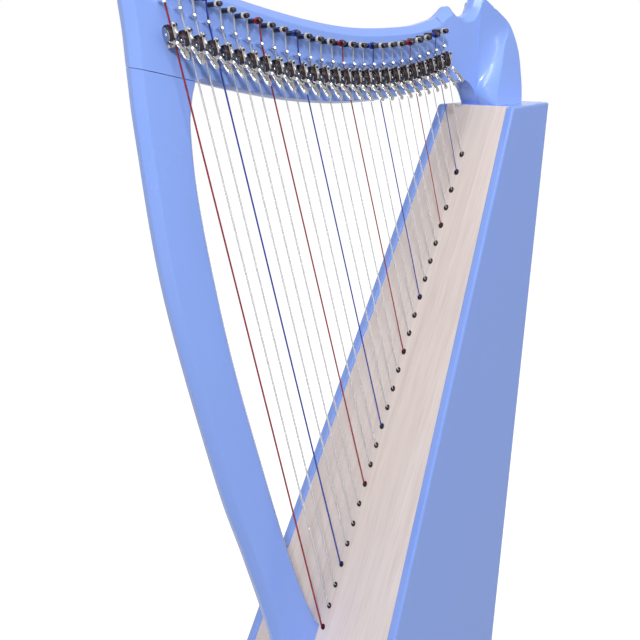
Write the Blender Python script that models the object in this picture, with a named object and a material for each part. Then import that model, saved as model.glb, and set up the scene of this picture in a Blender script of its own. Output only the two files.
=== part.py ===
"""A 26-string lever harp: painted frame, veneered soundboard, a sharping lever on every string.

The harp stands upright on its base. X runs from the column to the soundbox, Y across the
soundboard, Z up. The side that carries the levers faces -Y, and the strings lie in one plane,
y = 0. Measures below are in millimetres in the harp's own layout, whose zero is the eyelet of
the lowest string on the face of the soundboard; MM and ORIGIN bring them to metres above the
floor, with the origin under the middle of the harp.
"""
import math

import bmesh
import bpy
from mathutils import Matrix, Vector

MM = 0.001
ORIGIN = Vector((38.0, 0.0, -125.3))          # middle of the harp on the floor, in the layout

# Strings
STRINGS = 26
BOARD_LEAN = math.radians(19.97)              # soundboard, from upright
STRING_LEAN = math.radians(14.02)             # lowest string, from upright, towards the column
STRING_FAN = math.radians(1.0)                # further lean that the higher strings approach
STRING_MOUTH = (2.3, -0.09)                   # where a string leaves its eyelet, off the board's face
EYELET_PITCH = 27.8                           # along the board, at the lowest string
EYELET_NARROWING = (-0.2133, 0.00281)         # square and cube terms of the eyelet's station
STRING_LENGTH = (760.0, -33.6, 0.34)          # eyelet to bridge pin, over the string's number
STRING_RADIUS = (1.05, 0.45)                  # lowest, highest
STRING_SIDES = 6

# Pins and levers on the neck, measured along the string from its bridge pin
BRIDGE_SIDE = -2.5
TUNING_ABOVE = (24.3, -0.011)                 # lowest string, and its square term
TUNING_SIDE = -3.8
TUNING_RADIUS = 2.7
TUNING_HOLE = 3.1
COIL_RADIUS = 3.7
TUNING_Y = (-17.0, 65.0)                      # wound end, squared end
HUB_BELOW = (31.4, -1.79, 0.047)              # lever's hub under the bridge pin, over its number
HUB_Y = -7.0

# Neck and column
NECK_Y = (8.0, 18.0, 28.0, 38.0)              # near face, chamfers, far face

# Soundbox
BOX_TOP = 665.9                               # station of the top edge along the board
BOX_FLOOR = -105.0
TOP_HALF = 67.05
FLARE = 0.096                                 # half width gained for each mm down the board
TRIM_PROUD = 3.2
TOP_DEPTH = 75.7
TOP_RISE = math.radians(2.85)
DEPTH_GAIN = 0.209
SIDE_TAPER = 0.215                            # each side draws in by this for each mm of depth
SIDE_THICK = 13.0
BOARD_THICK = 4.0
BACK_THICK = 6.0
PLATE_THICK = 12.0
BASE_THICK = 16.0
PAD_HEIGHT = 4.0
GAP = 0.3

BOARD_UP = Vector((math.sin(BOARD_LEAN), 0.0, math.cos(BOARD_LEAN)))
BOARD_OUT = Vector((-math.cos(BOARD_LEAN), 0.0, math.sin(BOARD_LEAN)))


def clear_scene():
    for thing in list(bpy.data.objects):
        bpy.data.objects.remove(thing, do_unlink=True)


def finish(name, colour, roughness, metallic=0.0):
    """A plain material of one of the harp's surfaces."""
    material = bpy.data.materials.new(name)
    material.use_nodes = True
    shader = material.node_tree.nodes["Principled BSDF"]
    shader.inputs["Base Color"].default_value = (*colour, 1.0)
    shader.inputs["Roughness"].default_value = roughness
    shader.inputs["Metallic"].default_value = metallic
    material.diffuse_color = (*colour, 1.0)
    return material


def to_world(point):
    return (Vector(point) - ORIGIN) * MM


def build_object(name, points, faces, material, smooth=None, helper=False):
    """One object from points in the layout's millimetres, its faces turned outwards."""
    mesh = bpy.data.meshes.new(name)
    mesh.from_pydata([to_world(p) for p in points], [], faces)
    tidy = bmesh.new()
    tidy.from_mesh(mesh)
    bmesh.ops.recalc_face_normals(tidy, faces=tidy.faces)
    tidy.to_mesh(mesh)
    tidy.free()
    if smooth is not None:
        mesh.shade_smooth()
        mesh.set_sharp_from_angle(angle=math.radians(smooth))
    mesh.materials.append(material)
    thing = bpy.data.objects.new(name, mesh)
    bpy.context.collection.objects.link(thing)
    if helper:
        thing.hide_render = True
        thing.display_type = "WIRE"
    return thing


def combine(thing, other, operation):
    """Add, cut or join another object's shape to this one."""
    modifier = thing.modifiers.new(operation.title() + " " + other.name, "BOOLEAN")
    modifier.operation = operation
    modifier.object = other
    return modifier


def rings_to_faces(count, sides, start=0):
    """Quads between successive rings of points, and the two end caps."""
    faces = []
    for ring in range(count - 1):
        low = start + ring * sides
        for i in range(sides):
            j = (i + 1) % sides
            faces.append((low + i, low + j, low + sides + j, low + sides + i))
    faces.append(tuple(range(start, start + sides)))
    last = start + (count - 1) * sides
    faces.append(tuple(reversed(range(last, last + sides))))
    return faces


def turned(axis_point, axis, profile, sides, across=Vector((0.0, 0.0, 1.0))):
    """Points and faces of a round piece: profile lists (distance along the axis, radius)."""
    axis = Vector(axis).normalized()
    second = axis.cross(across).normalized()
    first = second.cross(axis)
    points = []
    for along, radius in profile:
        centre = Vector(axis_point) + axis * along
        for i in range(sides):
            turn = math.tau * (i + 0.5) / sides
            points.append(centre + first * radius * math.cos(turn) + second * radius * math.sin(turn))
    return points, rings_to_faces(len(profile), sides)


def join_shells(shells):
    """Several closed shells as one list of points and faces."""
    points = []
    faces = []
    for shell_points, shell_faces in shells:
        start = len(points)
        points.extend(shell_points)
        faces.extend(tuple(start + i for i in face) for face in shell_faces)
    return points, faces


def block(low, high):
    """A box between two corners."""
    xs, ys, zs = zip(low, high)
    points = [Vector((x, y, z)) for z in zs for x, y in
              ((xs[0], ys[0]), (xs[1], ys[0]), (xs[1], ys[1]), (xs[0], ys[1]))]
    return points, rings_to_faces(2, 4)


def smooth_through(points, steps, closed=False):
    """A Catmull-Rom curve through points, with a number of steps in each span."""
    count = len(points)
    spans = count if closed else count - 1
    curve = []
    for span in range(spans):
        if closed:
            p0, p1, p2, p3 = (Vector(points[(span + i) % count]) for i in (-1, 0, 1, 2))
        else:
            p1 = Vector(points[span])
            p2 = Vector(points[span + 1])
            p0 = Vector(points[span - 1]) if span > 0 else 2 * p1 - p2
            p3 = Vector(points[span + 2]) if span + 2 < count else 2 * p2 - p1
        for step in range(steps):
            t = step / steps
            curve.append(0.5 * ((2 * p1) + (p2 - p0) * t + (2 * p0 - 5 * p1 + 4 * p2 - p3) * t * t
                                + (3 * p1 - p0 - 3 * p2 + p3) * t ** 3))
    if not closed:
        curve.append(Vector(points[-1]))
    return curve


def inset(outline, joints):
    """The outline of a board's flat face, inside an outline of (x, z, chamfer) points.

    The outline runs anticlockwise when seen from the lever side. joints gives, by point number,
    the direction that the chamfer takes along a glued joint instead of straight inwards.
    """
    count = len(outline)
    inner = []
    for i, corner in enumerate(outline):
        point = corner.xy
        inward = joints.get(i)
        if inward is None:
            before = (point - outline[i - 1].xy).normalized()
            after = (outline[(i + 1) % count].xy - point).normalized()
            inward = Vector((-(before.y + after.y), before.x + after.x)).normalized()
        inner.append(point + inward * corner.z)
    return inner


def chamfered_board(outline, near, far):
    """A board with its full outline in the middle and smaller outlines on its two faces."""
    points = []
    for y, ring in zip(NECK_Y, (near, outline, outline, far)):
        points.extend(Vector((p.x, y, p.y)) for p in ring)
    return points, rings_to_faces(4, len(outline))


# Where each string runs

def string_station(k):
    """Distance of eyelet k along the board from the lowest one."""
    square, cube = EYELET_NARROWING
    return EYELET_PITCH * k + square * k * k + cube * k ** 3


def eyelet(k):
    return BOARD_UP * string_station(k)


def string_axes(k):
    """Unit vectors across the strings and up along string k."""
    lean = STRING_LEAN + STRING_FAN * k * k / (k * k + 20.0)
    across = Vector((math.cos(lean), 0.0, math.sin(lean)))
    up = Vector((-math.sin(lean), 0.0, math.cos(lean)))
    return across, up, lean


def bridge_length(k):
    a, b, c = STRING_LENGTH
    return a + b * k + c * k * k


def on_string(k, length, side=0.0, y=0.0):
    """A point beside string k: its length above the eyelet, its offset across, its depth."""
    across, up, _ = string_axes(k)
    mouth = eyelet(k) + BOARD_OUT * (STRING_MOUTH[0] + STRING_MOUTH[1] * k)
    return mouth + up * length + across * side + Vector((0.0, y, 0.0))


def tuning_length(k):
    return bridge_length(k) + TUNING_ABOVE[0] + TUNING_ABOVE[1] * k * k


def hub_length(k):
    a, b, c = HUB_BELOW
    return bridge_length(k) - a - b * k - c * k * k


def string_gap(k):
    """Distance from string k to the next longer one, square to it and level with its lever."""
    across = string_axes(k - 1)[0]
    return (on_string(k, hub_length(k)) - on_string(k - 1, 0.0)).dot(across)


def lever_frame(k):
    """World matrix of lever k: X across the strings, Z up the string, as narrow as its spacing."""
    _, _, lean = string_axes(k)
    place = Matrix.Translation(to_world(on_string(k, hub_length(k))))
    narrow = string_gap(k) / string_gap(1) if k else 1.0
    return place @ Matrix.Rotation(-lean, 4, "Y") @ Matrix.Diagonal((narrow, 1.0, 1.0, 1.0))


# Soundbox

def box_depth(station):
    return TOP_DEPTH + DEPTH_GAIN * (BOX_TOP - station)


TOP_ALONG = Vector((math.cos(TOP_RISE), 0.0, math.sin(TOP_RISE)))
FRONT_TOP = BOARD_UP * BOX_TOP + BOARD_OUT * TRIM_PROUD
FRONT_LOW_STATION = (BOX_FLOOR - BOARD_OUT.z * TRIM_PROUD) / BOARD_UP.z
FRONT_LOW = BOARD_UP * FRONT_LOW_STATION + BOARD_OUT * TRIM_PROUD
BACK_TOP = FRONT_TOP + TOP_ALONG * TOP_DEPTH
BACK_HINT = FRONT_LOW + TOP_ALONG * box_depth(FRONT_LOW_STATION)
BACK_LOW = BACK_TOP + (BACK_HINT - BACK_TOP) * ((BOX_FLOOR - BACK_TOP.z) / (BACK_HINT.z - BACK_TOP.z))


def side_plane():
    """Coefficients of the outer face of the near side: |y| = a + b x + c z."""
    low_half = TOP_HALF + FLARE * (BOX_TOP - FRONT_LOW_STATION)
    rows = Matrix(((1.0, FRONT_TOP.x, FRONT_TOP.z),
                   (1.0, FRONT_LOW.x, FRONT_LOW.z),
                   (1.0, BACK_TOP.x, BACK_TOP.z)))
    halves = Vector((TOP_HALF, low_half, TOP_HALF - SIDE_TAPER * TOP_DEPTH))
    return rows.inverted() @ halves


SIDE = side_plane()


def half_width(x, z):
    return SIDE[0] + SIDE[1] * x + SIDE[2] * z


def from_front(corner, depth):
    """A point as deep as given under the board's face, level with a corner's height or top edge."""
    return corner - BOARD_OUT * depth


def cross_board(outline, clearance):
    """A piece between the sides, cut to an outline in X and Z, clear of their inner faces."""
    points = []
    for sign in (-1.0, 1.0):
        for x, z in outline:
            points.append(Vector((x, sign * (half_width(x, z) - SIDE_THICK - clearance), z)))
    return points, rings_to_faces(2, len(outline))


def make_side(name, sign, paint):
    outline = [FRONT_TOP, FRONT_LOW, BACK_LOW, BACK_TOP]
    points = []
    for inset in (0.0, SIDE_THICK):
        for corner in outline:
            points.append(Vector((corner.x, sign * (half_width(corner.x, corner.z) - inset), corner.z)))
    side = build_object(name, points, rings_to_faces(2, 4), paint)
    edge = side.modifiers.new("Rounded edges", "BEVEL")
    edge.width = 2.5 * MM
    edge.segments = 2
    edge.limit_method = "ANGLE"
    edge.angle_limit = math.radians(30.0)
    return side


def on_board_line(depth, z):
    """X of the plane a given depth under the board's face, at height z."""
    start = from_front(Vector((0.0, 0.0, 0.0)), depth)
    return start.x + (z - start.z) * BOARD_UP.x / BOARD_UP.z


def on_back_line(depth, z):
    """X of the plane a given depth inside the soundbox's back, at height z."""
    slope = (BACK_TOP.x - BACK_LOW.x) / (BACK_TOP.z - BACK_LOW.z)
    return BACK_LOW.x + (z - BACK_LOW.z) * slope - depth


def top_line(x, drop=0.0):
    """Height of the soundbox's sloping top at x."""
    return FRONT_TOP.z + (x - FRONT_TOP.x) * math.tan(TOP_RISE) - drop


def make_soundboard(wood):
    front_top = on_board_line(0.0, FRONT_TOP.z)
    back_top = on_board_line(BOARD_THICK, FRONT_TOP.z)
    outline = [(front_top, top_line(front_top)),
               (on_board_line(0.0, BOX_FLOOR), BOX_FLOOR),
               (on_board_line(BOARD_THICK, BOX_FLOOR), BOX_FLOOR),
               (back_top, top_line(back_top))]
    board = build_object("soundboard", *cross_board(outline, GAP), wood)
    holes = []
    for k in range(STRINGS):
        holes.append(turned(eyelet(k), BOARD_OUT, ((-BOARD_THICK - 2.0, 2.6), (2.0, 2.6)), 8,
                            Vector((0.0, 1.0, 0.0))))
    cutter = build_object("eyelet_holes", *join_shells(holes), wood, helper=True)
    combine(board, cutter, "DIFFERENCE")
    return board


def make_strings(gut, wood):
    """The strings with their eyelets, all held by the hidden strip behind the board."""
    shells = []
    sideways = Vector((0.0, 1.0, 0.0))
    for k in range(STRINGS):
        part = k / (STRINGS - 1)
        radius = STRING_RADIUS[0] + (STRING_RADIUS[1] - STRING_RADIUS[0]) * part
        up = string_axes(k)[1]
        rings = [(eyelet(k) - BOARD_OUT * (BOARD_THICK + 2.5), BOARD_OUT, 2.0),
                 (eyelet(k) + BOARD_OUT * GAP, BOARD_OUT, 2.0),
                 (eyelet(k) + BOARD_OUT * GAP, BOARD_OUT, 3.7),
                 (eyelet(k) + BOARD_OUT * 1.5, BOARD_OUT, 3.2),
                 (eyelet(k) + BOARD_OUT * 2.1, (BOARD_OUT + up).normalized(), 1.3),
                 (on_string(k, 3.0), up, radius),
                 (on_string(k, bridge_length(k)), up, radius),
                 (on_string(k, tuning_length(k), TUNING_SIDE + COIL_RADIUS + GAP + radius, -8.0), up, radius)]
        points = []
        for centre, direction, size in rings:
            other = direction.cross(sideways).normalized()
            for i in range(STRING_SIDES):
                turn = math.tau * i / STRING_SIDES
                points.append(centre + sideways * size * math.cos(turn) + other * size * math.sin(turn))
        shells.append((points, rings_to_faces(len(rings), STRING_SIDES)))
    rib_low = -20.0
    rib_high = string_station(STRINGS - 1) + 20.0
    rib_half = 12.0
    depths = (BOARD_THICK + GAP, BOARD_THICK + 5.0)
    rib_points = []
    for y in (-rib_half, rib_half):
        for station, depth in ((rib_low, depths[0]), (rib_low, depths[1]),
                               (rib_high, depths[1]), (rib_high, depths[0])):
            rib_points.append(BOARD_UP * station - BOARD_OUT * depth + Vector((0.0, y, 0.0)))
    rib = build_object("strings", rib_points, rings_to_faces(2, 4), gut)
    lines = build_object("string_lines", *join_shells(shells), gut, helper=True)
    combine(rib, lines, "UNION")
    return rib


SOUND_HOLES = ((60.0, 34.0), (210.0, 30.0), (350.0, 25.0), (480.0, 20.0))   # height, radius


def make_back(paint):
    """The back panel between the sides, with four round holes that let a hand reach the strings."""
    low = BOX_FLOOR
    high_x = on_back_line(0.0, BACK_TOP.z)
    outline = [(high_x, top_line(high_x)),
               (on_back_line(BACK_THICK, BACK_TOP.z), top_line(on_back_line(BACK_THICK, BACK_TOP.z))),
               (on_back_line(BACK_THICK, low), low),
               (on_back_line(0.0, low), low)]
    panel = build_object("back_panel", *cross_board(outline, GAP), paint)
    holes = []
    for height, radius in SOUND_HOLES:
        centre = Vector((on_back_line(BACK_THICK / 2.0, height), 0.0, height))
        across_panel = Vector((1.0, 0.0, -(BACK_TOP.x - BACK_LOW.x) / (BACK_TOP.z - BACK_LOW.z)))
        holes.append(turned(centre, across_panel, ((-20.0, radius), (20.0, radius)), 24))
    combine(panel, build_object("sound_holes", *join_shells(holes), paint, helper=True), "DIFFERENCE")
    return panel


def make_base(paint):
    """The board that the soundbox and the column's foot stand on, with four pads under it."""
    top = BOX_FLOOR - GAP
    lip = 5.0
    front_half = half_width(FRONT_LOW.x, FRONT_LOW.z) + lip
    back_half = half_width(BACK_LOW.x, BACK_LOW.z) + lip
    outline = [(FRONT_LOW.x - 54.0, -10.0), (FRONT_LOW.x - 50.0, -18.0), (FRONT_LOW.x - lip, -front_half),
               (BACK_LOW.x + lip, -back_half), (BACK_LOW.x + lip, back_half),
               (FRONT_LOW.x - lip, front_half), (FRONT_LOW.x - 50.0, 54.0), (FRONT_LOW.x - 54.0, 46.0)]
    points = [Vector((x, y, z)) for z in (top - BASE_THICK, top) for x, y in outline]
    base = build_object("base", points, rings_to_faces(2, len(outline)), paint)
    pads = []
    for x, y in ((FRONT_LOW.x + 20.0, front_half - 38.0), (FRONT_LOW.x + 20.0, 38.0 - front_half),
                 (BACK_LOW.x - 22.0, back_half - 26.0), (BACK_LOW.x - 22.0, 26.0 - back_half)):
        pads.append(turned((x, y, top - BASE_THICK), (0.0, 0.0, -1.0), ((-2.0, 11.0), (PAD_HEIGHT, 11.0)),
                           16, Vector((1.0, 0.0, 0.0))))
    combine(base, build_object("base_pads", *join_shells(pads), paint, helper=True), "UNION")
    return base


# Glued joint between column and neck, from the inner edge to the outer one
JOINT_INNER = Vector((-145.0, 659.4))
JOINT_OUTER = Vector((-217.4, 674.6))
JOINT_ALONG = (JOINT_OUTER - JOINT_INNER).normalized()

# Edges of the column as (x, z, chamfer): the outer one downwards, then the inner one upwards
COLUMN_OUTER = ((-217.4, 674.3, 9), (-210.3, 600, 9), (-186, 433, 9), (-131, 215, 9), (-96.5, 108, 9),
                (-68.5, 18, 9), (-60, -22, 8), (-63, -55, 6), (-72, -83, 3), (-88, BOX_FLOOR, 0.6))
COLUMN_INNER = ((-3.5, 0, 0.6), (-23, 57, 5), (-46.5, 129, 6), (-68.5, 206, 6), (-103.5, 334, 6),
                (-125.5, 430, 6), (-145.5, 539, 6), (-151.8, 610, 6), (-149.5, 640, 6), (-145, 659.1, 6))


def make_column(paint):
    outer = smooth_through(COLUMN_OUTER, 3)
    inner = smooth_through(COLUMN_INNER, 3)
    foot = [Vector((on_board_line(-GAP, z), z, 0.6)) for z in (BOX_FLOOR, COLUMN_INNER[0][1])]
    outline = outer + foot + inner[1:]
    face = inset(outline, {0: -JOINT_ALONG, len(outline) - 1: JOINT_ALONG})
    return build_object("column", *chamfered_board([p.xy for p in outline], face, face), paint, smooth=25.0)


# Edges of the neck as (x, z, chamfer): the underside from the column to the throat above the
# soundbox, the end that the shoulder covers, and the top from the first horn to the column
NECK_UNDER = ((*JOINT_INNER, 6), (-97, 649, 3), (-35, 638.5, 3), (32, 633.5, 3), (102, 637, 3),
              (162, 646.5, 3), (200, 654.9, 2), (209, 656.6, 1.5), (214.5, 656, 1.2), (219.5, 653.9, 1),
              (224.2, 650.4, 1), (228, 646.2, 1), (231, 641.6, 1), (233.4, 637, 0.8), (235.4, 632.6, 0.6),
              (237.5, 628.5, 0.6))
NECK_END = ((262, 628.5, 0.6), (272, 645, 0.6), (279, 668, 0.6), (281, 692, 0.6), (276, 712, 0.6),
            (268, 730, 0.6), (261.5, 744.3, 0.8))
NECK_TOP = ((176, 730, 9), (166, 726, 8.5), (130, 718.5, 8.5), (58, 716, 9), (-9, 724, 9), (-90, 742, 8.8),
            (-140, 758, 8.4), (-172, 777, 9), (-193, 787.5, 9), (-212, 787, 9), (-222.5, 770, 9),
            (-224, 745, 9), (-220, 710, 9), (*JOINT_OUTER, 9))
# The two horns of the scroll and the notch between them, from right to left, with the edge of the
# flat face that their wide chamfers leave: (x, z, face x, face z)
NECK_HORNS = ((251, 753, 247.4, 750.2), (246.5, 757.5, 244.8, 752.4), (242, 758.5, 243.4, 753),
              (238.3, 755.5, 242.3, 752), (235, 749, 240.2, 747.6), (232, 741.5, 235.7, 739.3),
              (229, 738, 233.2, 733.8), (225.5, 735, 229.5, 729), (220, 732.3, 224.3, 725.6),
              (213.5, 731.2, 216.6, 724.3), (207.5, 731.9, 209.3, 725.3), (203.9, 733.9, 204.2, 727.5),
              (200.7, 737.3, 199.6, 729.4), (197.4, 740.6, 195.9, 731), (193.5, 742.7, 192.6, 731.6),
              (189.3, 741, 188.9, 730.2), (184.4, 736.6, 184.3, 727.2), (176, 730, 176.9, 722.4))
FAR_CHAMFER = 6.0                             # along the underside's far edge, up to the throat
THROAT_X = (176.0, 212.0)                     # where it runs out


def make_neck_board(paint):
    under = smooth_through(NECK_UNDER, 3)
    end = smooth_through(NECK_END, 1)
    horns = smooth_through(NECK_HORNS, 2)
    top = smooth_through(NECK_TOP, 3)[1:]
    outline = under + end + [Vector((h.x, h.y, 1.0)) for h in horns] + top
    joints = {0: JOINT_ALONG, len(outline) - 1: -JOINT_ALONG}
    face = inset(outline, joints)
    start = len(under) + len(end)
    for i, h in enumerate(horns):
        face[start + i] = Vector((h.z, h.w))
    wide = list(outline)
    for i, p in enumerate(under[1:], 1):
        share = min(1.0, max(0.0, (THROAT_X[1] - p.x) / (THROAT_X[1] - THROAT_X[0])))
        wide[i] = Vector((p.x, p.y, max(p.z * 0.6, FAR_CHAMFER * share)))
    far = inset(wide, joints)
    far[start:start + len(horns)] = face[start:start + len(horns)]
    flat = [p.xy for p in outline]
    return build_object("neck", *chamfered_board(flat, face, far), paint, smooth=25.0)


# Shoulder, from its foot on the soundbox up to the scroll. Each level is a slanting cut that meets
# the neck's face at a crease (x, z) and has its front edge at (x, y, z) and its back at x. The lowest
# ones carry the neck's underside on to the front corner.
SHOULDER_SKIN = 0.8                            # how far the shoulder stands proud of the neck
SHOULDER_LEVELS = (
    ((238.9, 624.0), (234.6, -27.0, 624.0), 275.8),
    ((235.9, 632.8), (234.6, -27.0, 626.6), 276.0),
    ((234.2, 641.0), (234.6, -27.0, 628.2), 276.2),
    ((234.0, 651.5), (240.0, -22.7, 638.5), 281.1),
    ((234.0, 668.0), (250.0, -15.8, 657.5), 287.1),
    ((234.2, 690.0), (260.5, -8.4, 677.5), 292.0),
    ((234.8, 712.0), (271.5, -0.4, 699.0), 294.6),
    ((235.6, 727.0), (282.0, 5.6, 716.0), 289.8),
    ((236.8, 738.0), (277.5, 7.2, 727.5), 282.0),
    ((239.6, 748.5), (260.0, 7.2, 741.0), 264.2))
SHOULDER_BACK = 9.0                            # how much further back the far side reaches
COVE_STEPS = 5


def make_shoulder(paint):
    """The block that the neck widens into, hollowed in a quarter-ellipse cove from crease to edge."""
    crease_y = NECK_Y[0] - SHOULDER_SKIN
    far_y = NECK_Y[3] + SHOULDER_SKIN
    points = []
    for (left_x, left_z), (edge_x, edge_y, edge_z), back_x in SHOULDER_LEVELS:
        run_x = edge_x - left_x
        run_y = edge_y - crease_y
        fall = (edge_z - left_z) / (run_x * run_x + run_y * run_y)
        plan = [(left_x, far_y)]
        for step in range(COVE_STEPS + 1):
            turn = math.pi / 2.0 * step / COVE_STEPS
            plan.append((left_x + run_x * math.sin(turn), crease_y + run_y * (1.0 - math.cos(turn))))
        plan += [(back_x, edge_y), (back_x + SHOULDER_BACK, far_y)]
        points.extend(Vector((x, y, left_z + fall * (run_x * (x - left_x) + run_y * (y - crease_y))))
                      for x, y in plan)
    faces = rings_to_faces(len(SHOULDER_LEVELS), COVE_STEPS + 4)
    return build_object("shoulder", points, faces, paint, helper=True)


def make_top_plate(paint):
    """The plate that closes the soundbox at the top, set in between its four walls."""
    front = on_board_line(BOARD_THICK + GAP, FRONT_TOP.z)
    front_low = on_board_line(BOARD_THICK + GAP, FRONT_TOP.z - PLATE_THICK)
    back = on_back_line(BACK_THICK + GAP, BACK_TOP.z)
    back_low = on_back_line(BACK_THICK + GAP, BACK_TOP.z - PLATE_THICK)
    outline = [(front, top_line(front)), (front_low, top_line(front_low, PLATE_THICK)),
               (back_low, top_line(back_low, PLATE_THICK)), (back, top_line(back))]
    return build_object("top_plate", *cross_board(outline, GAP), paint, helper=True)


def bridge_pins(k):
    """A bridge pin: a collar on the neck, a waist that the string bears on, and a round head."""
    profile = ((-3.0, 1.5), (6.4, 1.5), (8.0, 1.25), (10.2, 2.4), (13.4, 2.4), (15.4, 1.2))
    foot = on_string(k, bridge_length(k), BRIDGE_SIDE, NECK_Y[0])
    return turned(foot, (0.0, -1.0, 0.0), profile, 6)


def lever_pattern_object(name, shells, metal):
    """A helper object in the lever's own frame, from closed shells that are joined one by one."""
    first = None
    for number, (points, faces) in enumerate(shells):
        placed = [p + ORIGIN for p in points]
        piece = build_object(name + "_" + str(number), placed, faces, metal, helper=True)
        if first is None:
            first = piece
        else:
            combine(first, piece, "UNION")
    return first


def settled_mesh(thing, name):
    """The object's mesh with its modifiers worked out."""
    bpy.context.view_layer.update()
    depsgraph = bpy.context.evaluated_depsgraph_get()
    mesh = bpy.data.meshes.new_from_object(thing.evaluated_get(depsgraph))
    mesh.name = name
    return mesh


def drop(things):
    for thing in things:
        bpy.data.objects.remove(thing, do_unlink=True)


def profile_along_x(profile, low, high):
    """A prism along the lever's axle, from a profile of (y, z) points."""
    points = [Vector((x, y, z)) for x in (low, high) for y, z in profile]
    return points, rings_to_faces(2, len(profile))


BARREL_RADIUS = 8.6
BARREL_X = (-10.8, -6.2)
AXLE_RADIUS = 1.5
CHEEK_X = (-5.6, -4.4)
FLANGE_X = -2.6
CAM_X = (-3.4, 1.6)
CAM_RADIUS = 3.2
CAM_REACH = 5.6
HANDLE_TILT = math.radians(38.7)              # handle at rest, out from straight down
HANDLE_THICK = 1.6
# Handle, as offset across and distance from the axle
HANDLE = ((-10.4, 5.0), (-10.4, 9.0), (-6.8, 12.0), (-5.4, 13.2), (-4.7, 18.0), (-5.4, 20.8),
          (-5.4, 29.3), (-4.4, 31.6), (-3.2, 32.3), (-2.0, 31.6), (-1.0, 29.3), (-1.0, 21.2),
          (-2.6, 18.4), (-3.4, 13.0), (-3.8, 11.2), (-6.6, 9.0), (-6.6, 5.0))


def lever_mesh(metal):
    """The part of a lever that turns: barrel, axle, string cam and handle, in the lever's frame."""
    hub = Vector((0.0, HUB_Y, 0.0))
    along = Vector((1.0, 0.0, 0.0))
    barrel = turned(hub, along, ((BARREL_X[0], BARREL_RADIUS - 0.8), (BARREL_X[0] + 0.8, BARREL_RADIUS),
                                 (BARREL_X[1], BARREL_RADIUS)), 14)
    axle = turned(hub, along, ((BARREL_X[1] - 2.0, AXLE_RADIUS), (CAM_X[0] + 1.0, AXLE_RADIUS)), 8)
    cam_profile = [(HUB_Y + CAM_RADIUS * math.cos(a), CAM_RADIUS * math.sin(a))
                   for a in (math.radians(d) for d in (150, 195, 240, 285, 330, 375))]
    cam_profile += [(HUB_Y + 1.3, CAM_REACH), (HUB_Y - 1.3, CAM_REACH)]
    cam = profile_along_x(cam_profile, *CAM_X)
    outward = Vector((0.0, -math.sin(HANDLE_TILT), -math.cos(HANDLE_TILT)))
    flat = Vector((0.0, math.cos(HANDLE_TILT), -math.sin(HANDLE_TILT)))
    handle_points = []
    for side in (-0.5, 0.5):
        for x, reach in HANDLE:
            handle_points.append(hub + Vector((x, 0.0, 0.0)) + outward * reach + flat * HANDLE_THICK * side)
    handle = (handle_points, rings_to_faces(2, len(HANDLE)))
    pattern = lever_pattern_object("lever_pattern", [barrel, axle, cam, handle], metal)
    mesh = settled_mesh(pattern, "lever")
    drop([o for o in bpy.data.objects if o.name.startswith("lever_pattern")])
    return mesh


def bracket_mesh(metal):
    """The part of a lever that is fixed: its foot, the cheek that carries the axle, and the fret."""
    foot = block((CHEEK_X[0], 6.4, -14.5), (4.4, NECK_Y[0] + 0.6, 4.4))
    tab = block((2.0, 6.3, 3.0), (9.0, NECK_Y[0] + 0.6, 9.0))
    screw = turned((7.3, 7.0, 6.2), (0.0, -1.0, 0.0), ((0.0, 1.5), (3.6, 1.5), (4.2, 1.0)), 6)
    cheek_profile = ((CHEEK_X[0], 7.0), (CHEEK_X[1], 7.0), (CHEEK_X[1], -12.5), (FLANGE_X, -12.5),
                     (FLANGE_X, -13.7), (CHEEK_X[0], -13.7))
    cheek_points = [Vector((x, y, z)) for z in (-4.4, 4.8) for x, y in cheek_profile]
    cheek = (cheek_points, rings_to_faces(2, len(cheek_profile)))
    frets = [turned((x, 7.0, -12.0), (0.0, -1.0, 0.0), ((0.0, 0.9), (9.0, 0.9)), 5) for x in (-2.3, 2.3)]
    pattern = lever_pattern_object("bracket_pattern", [foot, tab, screw, cheek] + frets, metal)
    bore_radius = AXLE_RADIUS + 0.4
    bore = turned((0.0, HUB_Y, 0.0), (1.0, 0.0, 0.0), ((-7.0, bore_radius), (-3.5, bore_radius)), 8)
    cutter = build_object("bracket_pattern_bore", [p + ORIGIN for p in bore[0]], bore[1], metal, helper=True)
    combine(pattern, cutter, "DIFFERENCE")
    mesh = settled_mesh(pattern, "bracket")
    drop([o for o in bpy.data.objects if o.name.startswith("bracket_pattern")])
    return mesh


def make_neck_fittings(metal):
    """Bridge pins and lever brackets of all strings, as shells that stand in the neck's face."""
    pattern = bracket_mesh(metal)
    shells = []
    for k in range(STRINGS):
        shells.append(bridge_pins(k))
        frame = lever_frame(k)
        points = [(frame @ v.co) / MM + ORIGIN for v in pattern.vertices]
        shells.append((points, [tuple(p.vertices) for p in pattern.polygons]))
    bpy.data.meshes.remove(pattern)
    return build_object("neck_fittings", *join_shells(shells), metal, helper=True)


def make_neck(paint, metal):
    neck = make_neck_board(paint)
    combine(neck, make_shoulder(paint), "UNION")
    combine(neck, make_top_plate(paint), "UNION")
    holes = []
    for k in range(STRINGS):
        place = on_string(k, tuning_length(k), TUNING_SIDE)
        holes.append(turned(place, (0.0, 1.0, 0.0), ((0.0, TUNING_HOLE), (50.0, TUNING_HOLE)), 8))
    combine(neck, build_object("pin_holes", *join_shells(holes), paint, helper=True), "DIFFERENCE")
    combine(neck, make_neck_fittings(metal), "UNION")
    return neck


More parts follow.
